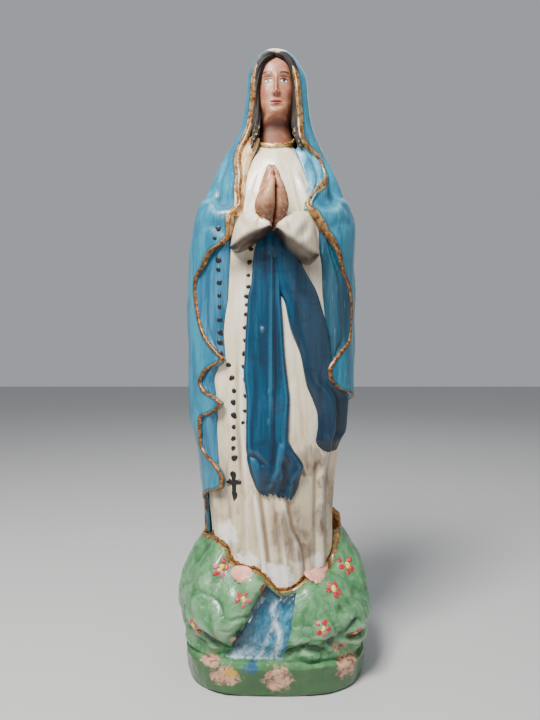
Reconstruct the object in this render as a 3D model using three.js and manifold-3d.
// A painted plaster madonna on a rocky mound, hands joined, hooded in a long open mantle.
// Millimetres, +Z up, she faces -Y, and the origin is the middle of the plinth's resting face.
// Right and left are the figure's own: her right side is at -X.
// Angles go round the figure in degrees from straight in front (0), positive towards her left (+X).
import * as THREE from "three";
import { mergeVertices } from "three/addons/utils/BufferGeometryUtils.js";
import Module from "manifold-3d";

const wasm = await Module();
wasm.setup();

// ---------------------------------------------------------------- driving dimensions
const HEIGHT = 400;
const NECK = 337; // where the mantle becomes the hood
const HEM = 75; // nominal height of the hems, before they settle on the mound
const MANTLE_WALL = 3.4; // thickness of the mantle over the gown
const GOWN_INSET = 4.6; // the gown's skin lies this far inside the mantle's
const GAP = 0.4; // clearance between neighbouring pieces
const PLINTH_HALF_WIDTH = 56;
const PLINTH_FRONT = 52;
const PLINTH_BACK = 50;
const PLINTH_TOP = 17;
const PLINTH_SQUARENESS = 3; // superellipse exponent of the footprint
const MOUND_SIDE_BULGE = 8.5;
const LEDGE_DEPTH = 5;
const ROD_RADIUS = 1.5;
const ROD_FOOT = 306;
const ROD_HEAD = 372;

// The figure's outer skin: height, then reach to her right, her left, front and back.
const SKIN = [
  [50, 44.5, 41, 46, 41], [95, 47, 41.5, 44, 40.5], [120, 49.5, 43, 42, 40],
  [140, 52, 46.5, 41, 40], [157, 55.5, 50, 40, 40], [175, 57, 52.5, 38.5, 40],
  [200, 57, 52.5, 37, 39.5], [235, 57, 52.5, 36.5, 39], [262, 56, 52.5, 36, 38],
  [280, 53, 52, 34.5, 37], [298, 47, 46.5, 31, 35.5], [318, 38.5, 38.5, 26, 33],
  [NECK, 28.5, 29.5, 20, 30], [348, 23, 25.5, 18, 28], [365, 19.5, 22.5, 20, 27],
  [380, 18, 21, 19, 25], [390, 14.5, 17, 15, 19.5], [396, 9.5, 12, 10, 13],
  [399, 4.5, 6.5, 5.5, 7], [HEIGHT, 1, 1, 1, 1],
];
// The gown above the waist, where it closes in to the neck.
const BODICE_TOP = [
  [298, 42, 41.5, 27, 30], [312, 34, 34, 23, 25], [322, 26, 26, 19, 21],
  [330, 17, 17, 15, 16], [336, 12.6, 12.6, 12.8, 13], [341, 11.6, 11.6, 12, 12],
];
// Hem height round the figure, where gown and mantle meet the mound.
const HEMLINE = [
  [-180, 88], [-110, 84], [-90, 80], [-60, 82], [-47, 79], [-40, 71], [-19, 70],
  [-8, 65], [4, 57], [12, 58], [27, 63], [58, 64.5], [70, 70], [82, 84],
  [110, 86], [180, 88],
];
// Front edge of the mantle on her right and on her left: height, angle.
const EDGE_RIGHT = [
  [75, -93], [90, -92], [103, -75], [108, -66], [113, -49], [120, -42], [128, -46],
  [140, -66], [154, -60], [159, -58], [163, -41], [168, -35.7], [174, -45],
  [182, -56], [189, -49], [195, -34.5], [207, -48.5], [217, -56.5], [226, -61],
  [240, -65], [250, -57], [262, -45], [268, -34], [283, -31], [291, -27],
  [300, -29.5], [310, -31.5], [322, -40], [331, -45], [NECK, -42],
];
const EDGE_LEFT = [
  [75, 113], [100, 114], [150, 116], [166, 104], [174, 70], [176, 54], [181, 44],
  [189, 40], [195, 44.4], [202, 55], [208, 66], [217, 70.5], [228, 71.5],
  [239, 67.5], [254, 52], [264, 44.5], [277, 32.5], [285, 26.8], [291, 23.6],
  [303, 36.5], [314, 54], [323, 56], [329, 42], [NECK, 32.8],
];

const COLOURS = {
  plaster: { color: 0xe8e0d2, roughness: 0.45 },
  white: { color: 0xe6dfd2, roughness: 0.4 },
  blue: { color: 0x5aa5c4, roughness: 0.4 },
  lining: { color: 0x4c93b4, roughness: 0.42 },
  sash: { color: 0x1a628f, roughness: 0.35 },
  skin: { color: 0xd9b3a2, roughness: 0.42 },
  hair: { color: 0x2c1f1a, roughness: 0.5 },
  gold: { color: 0xa87b3c, roughness: 0.4, metalness: 0.5 },
  green: { color: 0x74a883, roughness: 0.5 },
  water: { color: 0x4d8bb3, roughness: 0.4 },
  iron: { color: 0x5b5754, roughness: 0.6, metalness: 0.8 },
};

// ---------------------------------------------------------------- small tools
const DEG = Math.PI / 180;
const lerp = (a, b, t) => a + (b - a) * t;
const clamp01 = (t) => Math.min(1, Math.max(0, t));
const ease = (t) => clamp01(t) ** 2 * (3 - 2 * clamp01(t));
const hump = (t, middle, half) => Math.exp(-(((t - middle) / half) ** 2));

// A smooth curve through [place, value] stations in rising order of place, with no overshoot.
function curveOf(stations) {
  const x = stations.map((s) => s[0]);
  const y = stations.map((s) => s[1]);
  const steps = x.slice(1).map((xi, i) => (y[i + 1] - y[i]) / (xi - x[i]));
  const slope = x.map((_, i) => {
    if (i === 0) return steps[0];
    if (i === x.length - 1) return steps[i - 1];
    const [before, after] = [steps[i - 1], steps[i]];
    return before * after <= 0 ? 0 : (2 * before * after) / (before + after);
  });
  return (place) => {
    if (place <= x[0]) return y[0];
    if (place >= x[x.length - 1]) return y[y.length - 1];
    let i = 0;
    while (place > x[i + 1]) i += 1;
    const h = x[i + 1] - x[i];
    const t = (place - x[i]) / h;
    const rise = (1 + 2 * t) * (1 - t) ** 2 * y[i] + t * t * (3 - 2 * t) * y[i + 1];
    return rise + h * (t * (1 - t) ** 2 * slope[i] - t * t * (1 - t) * slope[i + 1]);
  };
}

const columnsOf = (rows) => [1, 2, 3, 4].map((c) => curveOf(rows.map((r) => [r[0], r[c]])));
const skin = columnsOf(SKIN);
const gownRows = SKIN.filter((r) => r[0] <= 280)
  .map(([z, ...reach]) => [z, ...reach.map((r) => r - GOWN_INSET)])
  .concat(BODICE_TOP);
const gown = columnsOf(gownRows);
const hemline = curveOf(HEMLINE);
const edgeRight = curveOf(EDGE_RIGHT);
const edgeLeft = curveOf(EDGE_LEFT);

// The point at an angle and height on a skin given by its four reaches, pushed out by an offset.
function around(reach, angle, height, offset = 0) {
  const s = Math.sin(angle * DEG);
  const c = Math.cos(angle * DEG);
  const across = reach[s < 0 ? 0 : 1](height) + offset;
  const deep = reach[c > 0 ? 2 : 3](height) + offset;
  return new THREE.Vector3(across * s, -deep * c, height);
}

// Lets a height near the hems come down (or up) onto the mound at that angle.
function settled(height, angle) {
  const turned = ((((angle + 180) % 360) + 360) % 360) - 180;
  return height + (hemline(turned) - HEM) * (1 - ease((height - HEM) / 60));
}

// ---------------------------------------------------------------- meshes and solids
// A closed surface from a grid of points; rows and columns may each close on themselves.
function gridGeometry(rows, { closeColumns = true, closeRows = false, capEnds = false }) {
  const count = rows[0].length;
  const position = rows.flat().flatMap((p) => [p.x, p.y, p.z]);
  const index = [];
  const at = (r, c) => (r % rows.length) * count + (c % count);
  const lastRow = closeRows ? rows.length : rows.length - 1;
  const lastColumn = closeColumns ? count : count - 1;
  for (let r = 0; r < lastRow; r += 1)
    for (let c = 0; c < lastColumn; c += 1) {
      index.push(at(r, c), at(r, c + 1), at(r + 1, c + 1));
      index.push(at(r, c), at(r + 1, c + 1), at(r + 1, c));
    }
  if (capEnds)
    for (const r of [0, rows.length - 1]) {
      const middle = rows[r].reduce((sum, p) => sum.add(p), new THREE.Vector3());
      middle.divideScalar(count);
      const centre = position.length / 3;
      position.push(middle.x, middle.y, middle.z);
      for (let c = 0; c < count; c += 1)
        if (r === 0) index.push(centre, at(r, c + 1), at(r, c));
        else index.push(centre, at(r, c), at(r, c + 1));
    }
  const geometry = new THREE.BufferGeometry();
  geometry.setAttribute("position", new THREE.Float32BufferAttribute(position, 3));
  geometry.setIndex(index);
  return geometry;
}

// Turns a closed geometry into a manifold-3d solid with its faces pointing out.
function solidOf(geometry) {
  const bare = geometry.clone();
  bare.deleteAttribute("normal");
  bare.deleteAttribute("uv");
  const merged = mergeVertices(bare, 1e-4);
  const triVerts = new Uint32Array(merged.index.array);
  const vertProperties = new Float32Array(merged.attributes.position.array);
  const made = new wasm.Manifold(new wasm.Mesh({ numProp: 3, vertProperties, triVerts }));
  if (made.volume() > 0) return made;
  for (let i = 0; i < triVerts.length; i += 3)
    [triVerts[i + 1], triVerts[i + 2]] = [triVerts[i + 2], triVerts[i + 1]];
  return new wasm.Manifold(new wasm.Mesh({ numProp: 3, vertProperties, triVerts }));
}

// The largest body of a solid as a three.js geometry.
function geometryOf(solid) {
  const bodies = solid.decompose().sort((a, b) => b.volume() - a.volume());
  const mesh = bodies[0].simplify(0.04).getMesh();
  const position = [];
  for (let i = 0; i < mesh.vertProperties.length; i += mesh.numProp)
    position.push(...mesh.vertProperties.subarray(i, i + 3));
  const geometry = new THREE.BufferGeometry();
  geometry.setAttribute("position", new THREE.Float32BufferAttribute(position, 3));
  geometry.setIndex([...mesh.triVerts]);
  return geometry;
}

const cut = (solid, ...others) => others.reduce((left, other) => left.subtract(other), solid);

// A solid layer between an outer and an inner surface, each a function of (across, up) in 0..1.
function layer(outer, inner, columns, rows) {
  const loops = [];
  for (let r = 0; r <= rows; r += 1) {
    const loop = [];
    for (let c = 0; c <= columns; c += 1) loop.push(outer(c / columns, r / rows));
    for (let c = columns; c >= 0; c -= 1) loop.push(inner(c / columns, r / rows));
    loops.push(loop);
  }
  const geometry = gridGeometry(loops, {});
  const count = loops[0].length;
  const index = [...geometry.index.array];
  // The two ends are strips between the outer and the inner edge.
  for (const [r, flip] of [[0, false], [rows, true]])
    for (let c = 0; c < columns; c += 1) {
      const [a, b] = [r * count + c, r * count + c + 1];
      const [d, e] = [r * count + count - 1 - c, r * count + count - 2 - c];
      if (flip) index.push(a, b, e, a, e, d);
      else index.push(a, e, b, a, d, e);
    }
  geometry.setIndex(index);
  return solidOf(geometry);
}

// A solid through closed loops of points, with its two ends capped.
const loft = (loops) => solidOf(gridGeometry(loops, { capEnds: true }));

// An ellipse of points in the plane of two axes.
function ellipse(centre, sideways, upward, count) {
  return Array.from({ length: count }, (_, i) => {
    const turn = (2 * Math.PI * i) / count;
    return centre
      .clone()
      .addScaledVector(sideways, Math.cos(turn))
      .addScaledVector(upward, Math.sin(turn));
  });
}

// A rounded bar along a path of [x, y, z, radius across, radius along -Y to +Y] stations.
function bar(stations, steps, count, grow = 0) {
  const at = stations.map((s, i) => i / (stations.length - 1));
  const lines = [0, 1, 2, 3, 4].map((k) => curveOf(stations.map((s, i) => [at[i], s[k]])));
  const point = (t) => new THREE.Vector3(lines[0](t), lines[1](t), lines[2](t));
  const depth = new THREE.Vector3(0, 1, 0);
  const loops = [];
  for (let i = 0; i <= steps; i += 1) {
    const t = i / steps;
    const along = point(Math.min(1, t + 0.02)).sub(point(Math.max(0, t - 0.02))).normalize();
    const across = new THREE.Vector3().crossVectors(along, depth).normalize();
    const inward = new THREE.Vector3().crossVectors(across, along).normalize();
    across.multiplyScalar(lines[3](t) + grow);
    inward.multiplyScalar(lines[4](t) + grow);
    const end = i === 0 ? -grow : i === steps ? grow : 0;
    loops.push(ellipse(point(t).addScaledVector(along, end), across, inward, count));
  }
  return loft(loops);
}

// An ellipsoid with its middle at a point.
function egg([x, y, z], [rx, ry, rz], grow = 0) {
  const sphere = new THREE.SphereGeometry(1, 14, 10);
  sphere.scale(rx + grow, ry + grow, rz + grow);
  sphere.translate(x, y, z);
  return solidOf(sphere);
}

// ---------------------------------------------------------------- mound and plinth
function plinthReach(angle, inset = 0) {
  const s = Math.sin(angle * DEG);
  const c = Math.cos(angle * DEG);
  const deep = (c > 0 ? PLINTH_FRONT : PLINTH_BACK) - inset;
  const wide = PLINTH_HALF_WIDTH - inset;
  const n = PLINTH_SQUARENESS;
  return 1 / ((Math.abs(s) / wide) ** n + (Math.abs(c) / deep) ** n) ** (1 / n);
}

const polar = (reach, angle, height) =>
  new THREE.Vector3(reach * Math.sin(angle * DEG), -reach * Math.cos(angle * DEG), height);

// Lumps of rock: a few waves that cross one another.
function rock(angle, rise) {
  const a = angle * DEG;
  const waves = Math.sin(5 * a + 7 * rise) + Math.sin(8 * a - 5 * rise + 1) * 0.6;
  return 1.1 * waves * Math.sin(Math.PI * clamp01(rise));
}

// The slope between the plinth's ledge (rise 0) and the hem (rise 1).
function slope(angle, rise, offset = 0) {
  const top = hemline(angle) - GAP;
  const hem = around(skin, angle, Math.max(top, 50), 2);
  const hemReach = Math.hypot(hem.x, hem.y);
  const front = Math.max(0, Math.cos(angle * DEG));
  const side = Math.abs(Math.sin(angle * DEG)) ** 1.5;
  const reach =
    lerp(plinthReach(angle), hemReach, rise ** 2.2) +
    MOUND_SIDE_BULGE * side * Math.sin(Math.PI * rise) -
    LEDGE_DEPTH * front * hump(rise, 0, 0.22) +
    rock(angle, rise) + offset;
  return polar(reach, angle, lerp(PLINTH_TOP + 1, top, rise));
}

const CAVITY = [
  [0, 44, 44, 39, 37], [12, 43, 43, 38, 36], [45, 34, 34, 30, 29], [60, 28, 28, 25, 25],
  [120, 28, 28, 24, 24], [200, 34, 32, 21, 22], [255, 30, 29, 17, 18],
  [285, 17, 17, 10, 11], [296, 6, 6, 4, 4],
];
const cavity = columnsOf(CAVITY);

function moundSolid(grow = 0) {
  const loops = [];
  for (let i = 0; i < 44; i += 1) {
    const angle = -180 + (360 * i) / 44;
    const loop = [
      polar(plinthReach(angle, 2) + grow, angle, -grow),
      polar(plinthReach(angle) + grow, angle, 1.8),
      polar(plinthReach(angle) + grow, angle, PLINTH_TOP - 1.5),
      polar(plinthReach(angle, 1) + grow, angle, PLINTH_TOP + grow),
    ];
    for (let r = 0; r <= 9; r += 1) {
      const point = slope(angle, r / 9, grow);
      loop.push(point.setZ(point.z + grow));
    }
    const top = hemline(angle) - GAP;
    for (const height of [top + grow, 45, 12, -grow])
      loop.push(around(cavity, angle, Math.max(0, height), -grow).setZ(height));
    loops.push(loop);
  }
  return solidOf(gridGeometry(loops, { closeRows: true }));
}

// Banks of the stream: rise up the slope, then the angles of its two banks.
const bankRight = curveOf([[0, -37], [0.22, -28], [0.55, -17], [1, -4]]);
const bankLeft = curveOf([[0, 4], [0.22, 8], [0.6, 10.5], [1, 17]]);

function streamSolid() {
  const face = (offset) => (u, v) => {
    const rise = lerp(0.03, 0.93, v);
    return slope(lerp(bankRight(rise), bankLeft(rise), u), rise, offset);
  };
  return layer(face(1.4), face(0.5), 10, 14);
}

// ---------------------------------------------------------------- gown
function gownSolid(grow = 0) {
  const rows = 20;
  const columns = 36;
  const top = BODICE_TOP[BODICE_TOP.length - 1][0] + grow;
  const loops = [];
  for (let r = 0; r <= rows; r += 1) {
    const height = lerp(HEM, top, (r / rows) ** 0.9);
    loops.push(
      Array.from({ length: columns }, (_, i) => {
        const angle = -180 + (360 * i) / columns;
        const settledHeight = settled(height, angle);
        const folds = 0.9 * (Math.cos(9 * angle * DEG) - 1) * (1 - ease((height - HEM) / 55));
        return around(gown, angle, settledHeight - (r ? 0 : grow), grow + folds);
      }),
    );
  }
  return loft(loops);
}

// The slush-cast hollow inside the gown, open at the hem.
function gownHollow() {
  const loops = [];
  for (const height of [40, 60, 90, 120, 160, 200, 230, 255, 272, 285, 293, 296])
    loops.push(
      Array.from({ length: 28 }, (_, i) => around(cavity, (360 * i) / 28, height)),
    );
  return loft(loops);
}

// ---------------------------------------------------------------- mantle and hood
function mantleSolid(grow = 0) {
  const spread = (angleA, angleB, u) => lerp(angleA, angleB, u);
  const face = (offset) => (u, v) => {
    const height = lerp(HEM, NECK - GAP, v);
    const widen = grow * 1.5;
    const angle = spread(edgeLeft(height) - widen, 360 + edgeRight(height) + widen, u);
    const back = 1 - Math.abs(2 * u - 1);
    const folds = Math.cos(6 * angle * DEG) * 1.3 * ease(back * 3) * (1 - ease((height - 110) / 170));
    return around(skin, angle, settled(height, angle), offset + folds);
  };
  return layer(face(grow), face(-MANTLE_WALL - grow), 28, 40);
}

function domeSolid(inset) {
  const heights = [NECK, 343, 350, 358, 366, 374, 381, 387, 391.5, 395, 397.5, 399, HEIGHT];
  const middle = new THREE.Vector3(1.5, 3, 0);
  const loops = heights.map((height) =>
    Array.from({ length: 36 }, (_, i) => {
      const point = around(skin, (360 * i) / 36, height, 0);
      const flat = point.clone().setZ(0);
      const reach = flat.distanceTo(middle);
      const share = Math.max(0.02, (reach - inset) / reach);
      flat.sub(middle).multiplyScalar(share).add(middle);
      return flat.setZ(height - (height > NECK ? inset * ease((height - 380) / 20) : inset));
    }),
  );
  return loft(loops);
}

// The outline of the hood's opening, seen from the front: half-width to each side at a height.
function hoodSolid() {
  const arch = new THREE.Shape();
  arch.moveTo(-20, NECK - 10);
  arch.splineThru([
    new THREE.Vector2(-17, 350), new THREE.Vector2(-15.5, 366), new THREE.Vector2(-13.5, 381),
    new THREE.Vector2(-8, 391.5), new THREE.Vector2(0.8, 396), new THREE.Vector2(9.5, 391.5),
    new THREE.Vector2(14.5, 381), new THREE.Vector2(16.5, 366), new THREE.Vector2(17, 350),
    new THREE.Vector2(17, NECK - 10),
  ]);
  const front = new THREE.ExtrudeGeometry(arch, { depth: 40, bevelEnabled: false, curveSegments: 18 });
  front.rotateX(Math.PI / 2); // the arch stands up and runs towards -Y
  front.translate(0, -5, 0);
  return cut(domeSolid(0), domeSolid(2.4), solidOf(front));
}

// The corner of the mantle's hem that curls out over the mound on her left.
const cornerSolid = (grow = 0) => egg([40.5, 8, 88.5], [4.2, 6, 6], grow);

// A strip of cloth lying on the gown between two edges given as height, angle stations.
function strip(right, left, low, high, thickness, columns, rows) {
  const face = (offset) => (u, v) => {
    const height = lerp(low, high, v);
    return around(gown, lerp(right(height), left(height), u), height, offset);
  };
  return layer(face(thickness), face(GAP), columns, rows);
}

const LINING = 2.2; // how far the turned-in lining stands off the gown
const clearOf = (edge, degrees) => (height) => edge(height) + degrees;

function linings() {
  const innerRight = curveOf([[195, -37], [212, -37.5], [234, -34], [256, -33], [266, -31]]);
  const innerLowRight = curveOf([[124, -38], [138, -49], [154, -46.5], [162, -44]]);
  const innerLeft = curveOf([[190, 45], [207, 44.5], [220, 42], [237, 38.6], [252, 37.5], [272, 31]]);
  return {
    mantle_lining_right: strip(clearOf(edgeRight, 1), innerRight, 199, 262, LINING, 4, 16),
    mantle_lining_right_low: strip(clearOf(edgeRight, 1), innerLowRight, 131, 160, LINING, 4, 10),
    mantle_lining_left: strip(innerLeft, clearOf(edgeLeft, -1), 200, 268, LINING, 4, 16),
  };
}

function lapels() {
  const innerRight = curveOf([[298, -24], [311, -28], [323, -33], [334, -31]]);
  const innerLeft = curveOf([[298, 26], [306, 31], [315, 32], [327, 31], [334, 27]]);
  return {
    lapel_right: strip(clearOf(edgeRight, 1), innerRight, 302, 330, LINING, 3, 8),
    lapel_left: strip(innerLeft, clearOf(edgeLeft, -1), 300, 328, LINING, 4, 8),
  };
}

// ---------------------------------------------------------------- sash
const SASH = 3.2; // how far the sash stands off the gown

function sashSolids(obstacles) {
  const knotRight = curveOf([[237, -17.6], [249, -16], [259, -15], [271, -9]]);
  const knotLeft = curveOf([[237, 31.4], [247, 23.7], [262, 13], [271, 4]]);
  const tailRightOuter = curveOf([
    [112, -12], [120, -17.4], [139, -22], [170, -20], [187, -21.8], [234, -18.7],
  ]);
  const tailRightInner = curveOf([
    [112, 17.4], [119, 22.2], [130, 25], [141, 14.8], [150, 10.5], [171, 10.9], [199, 7.3], [237, 4],
  ]);
  const tailLeftInner = curveOf([
    [139, 40], [153, 35.4], [161, 34], [169, 29.5], [180, 23.5], [205, 15.6], [219, 9.7], [237, 5.2],
  ]);
  const tailLeftOuter = curveOf([
    [139, 69], [150, 77], [165, 73], [175, 56], [183, 48], [195, 43.4], [207, 42.3], [220, 39], [228, 35.5], [237, 31.4],
  ]);
  const made = {
    sash_knot: strip(knotRight, knotLeft, 237.4, 271, SASH, 6, 8),
    sash_tail_right: strip(tailRightOuter, tailRightInner, 112, 237, SASH, 6, 22),
    sash_tail_left: strip(tailLeftInner, tailLeftOuter, 139, 237, SASH, 6, 18),
  };
  for (const name of Object.keys(made)) made[name] = cut(made[name], ...obstacles);
  return made;
}

// ---------------------------------------------------------------- arms and hands
const SLEEVES = {
  sleeve_right: [[-5, -41, 281, 5, 5.5], [-12, -40, 277, 9, 8], [-20, -36, 270, 11, 9], [-27, -30, 263, 9, 8]],
  sleeve_left: [[4, -41, 281, 5, 5.5], [12, -40, 276, 9, 8], [20, -36, 269, 12, 9], [27, -31, 260, 9, 8]],
};
const sleeveSolid = (name, grow = 0) => bar(SLEEVES[name], 10, 14, grow);

const PALM_PLANE = -1; // the plane in which the two palms meet, along X
// Up a hand: height, thickness from the palm outwards, middle in depth, half-depth.
const HAND = [
  [272, 7.5, -41, 6.5], [279, 8.6, -42, 8], [288, 9, -43, 8.8], [297, 7.6, -44.5, 8],
  [304, 5.8, -46, 6.2], [309, 3.8, -47.5, 4], [311.5, 1.4, -48.3, 1.6],
];

function handSolid(side, grow = 0) {
  const loops = HAND.map(([height, thick, middle, half], i) => {
    const end = i === 0 ? -grow : i === HAND.length - 1 ? grow : 0;
    return Array.from({ length: 12 }, (_, k) => {
      const turn = (Math.PI * k) / 11;
      const x = PALM_PLANE + side * (GAP / 2 - grow + (thick + 2 * grow) * Math.sin(turn) ** 0.8);
      return new THREE.Vector3(x, middle + (half + grow) * Math.cos(turn), height + end);
    });
  });
  return loft(loops);
}

// ---------------------------------------------------------------- head, hair and collar
// Up the neck and head: height, half-width, front, back.
const HEAD = [
  [342, 10.4, 10.5, 10.5], [347, 10.4, 11.5, 11], [350.5, 10.6, 14.6, 12.5], [355, 11.8, 15.4, 14.5],
  [362, 12.9, 15.4, 16.5], [370, 13.4, 15.2, 17.5], [378, 13.4, 15, 17.5], [385, 12.3, 13.6, 16.5],
  [391, 9, 10, 12.5], [394.5, 4.5, 5, 6.5], [395.6, 1, 1, 1.5],
];
const HEAD_MIDDLE = [0.6, 0];

function headSolid(grow = 0) {
  const loops = HEAD.map(([height, wide, front, back], row) => {
    const end = row === 0 ? -grow : row === HEAD.length - 1 ? grow : 0;
    return Array.from({ length: 24 }, (_, i) => {
      const turn = (2 * Math.PI * i) / 24;
      const [s, c] = [Math.sin(turn), Math.cos(turn)];
      const nose = c > 0 ? 2.6 * hump(height, 366, 5) * hump(s, 0, 0.16) : 0;
      const deep = (c > 0 ? front + nose : back) + grow;
      return new THREE.Vector3(HEAD_MIDDLE[0] + (wide + grow) * s, HEAD_MIDDLE[1] - deep * c, height + end);
    });
  });
  return loft(loops);
}

const HAIR = [
  [2.5, -12.4, 391.5, 1.6, 1.6], [8.5, -12.6, 386, 1.9, 2], [12.6, -11.2, 377, 2, 2.4],
  [13.6, -9.6, 364, 2, 2.6], [13.2, -9.2, 352, 2.1, 2.4], [13.6, -11.4, 342, 1.6, 1.8],
];
const hairSolid = (side) =>
  bar(HAIR.map(([x, ...rest]) => [HEAD_MIDDLE[0] + side * x, ...rest]), 14, 8);

function collarSolid() {
  const ring = new THREE.TorusGeometry(12.4, 1.3, 8, 28);
  ring.rotateX(8 * DEG);
  ring.translate(HEAD_MIDDLE[0] - 0.2, 0, 342.6);
  return solidOf(ring);
}

function rodSolid(radius) {
  const rod = new THREE.CylinderGeometry(radius, radius, ROD_HEAD - ROD_FOOT, 16);
  rod.rotateX(Math.PI / 2);
  rod.translate(HEAD_MIDDLE[0], 2, (ROD_HEAD + ROD_FOOT) / 2);
  return solidOf(rod);
}

const FEET = {
  foot_right: [[-19, -43, 69], [6.2, 6, 4.2]],
  foot_left: [[22.5, -40.5, 65.5], [8, 6.5, 4.6]],
};

// ---------------------------------------------------------------- assembly
const statue = new THREE.Group();

function add(name, solid, colour) {
  const geometry = geometryOf(solid);
  geometry.computeVertexNormals();
  const mesh = new THREE.Mesh(geometry, new THREE.MeshStandardMaterial(COLOURS[colour]));
  mesh.name = name;
  statue.add(mesh);
}

const mound = moundSolid();
const moundKeepOut = moundSolid(GAP);
const gownBody = gownSolid();
const gownKeepOut = gownSolid(GAP);
const mantleKeepOut = mantleSolid(GAP);
const rodBore = rodSolid(ROD_RADIUS + 0.35);
const sleeveNames = Object.keys(SLEEVES);
const handKeepOut = [-1, 1].map((side) => handSolid(side, GAP));

add("mound_base", mound, "green");
add("stream", cut(streamSolid(), gownKeepOut, mantleKeepOut), "water");
add("gown", cut(gownBody, gownHollow(), rodBore, moundKeepOut, mantleKeepOut), "white");
add("mantle", cut(mantleSolid(), moundKeepOut), "blue");
add("hood", cut(hoodSolid(), gownKeepOut), "blue");
add("mantle_corner", cut(cornerSolid(), gownKeepOut, mantleKeepOut, moundKeepOut), "gold");
for (const [name, solid] of Object.entries({ ...linings(), ...lapels() }))
  add(name, cut(solid, mantleKeepOut, ...sleeveNames.map((n) => sleeveSolid(n, GAP))), "lining");
for (const [name, solid] of Object.entries(
  sashSolids([mantleKeepOut, ...sleeveNames.map((n) => sleeveSolid(n, GAP))]),
))
  add(name, solid, "sash");
sleeveNames.forEach((name, i) => {
  add(name, cut(sleeveSolid(name), gownKeepOut, mantleKeepOut, ...handKeepOut), "white");
  add(i ? "hand_left" : "hand_right", cut(handSolid(i ? 1 : -1), gownKeepOut), "skin");
});
add("head", cut(headSolid(), rodBore), "skin");
for (const [name, side] of [["hair_right", -1], ["hair_left", 1]])
  add(name, cut(hairSolid(side), headSolid(GAP), domeSolid(0).subtract(domeSolid(2.4 + GAP))), "hair");
add("collar", cut(collarSolid(), gownKeepOut, headSolid(GAP)), "gold");
for (const [name, [middle, radii]] of Object.entries(FEET))
  add(name, cut(egg(middle, radii), gownKeepOut, mantleKeepOut, moundKeepOut), "skin");
add("neck_rod", rodSolid(ROD_RADIUS), "iron");

export default statue;
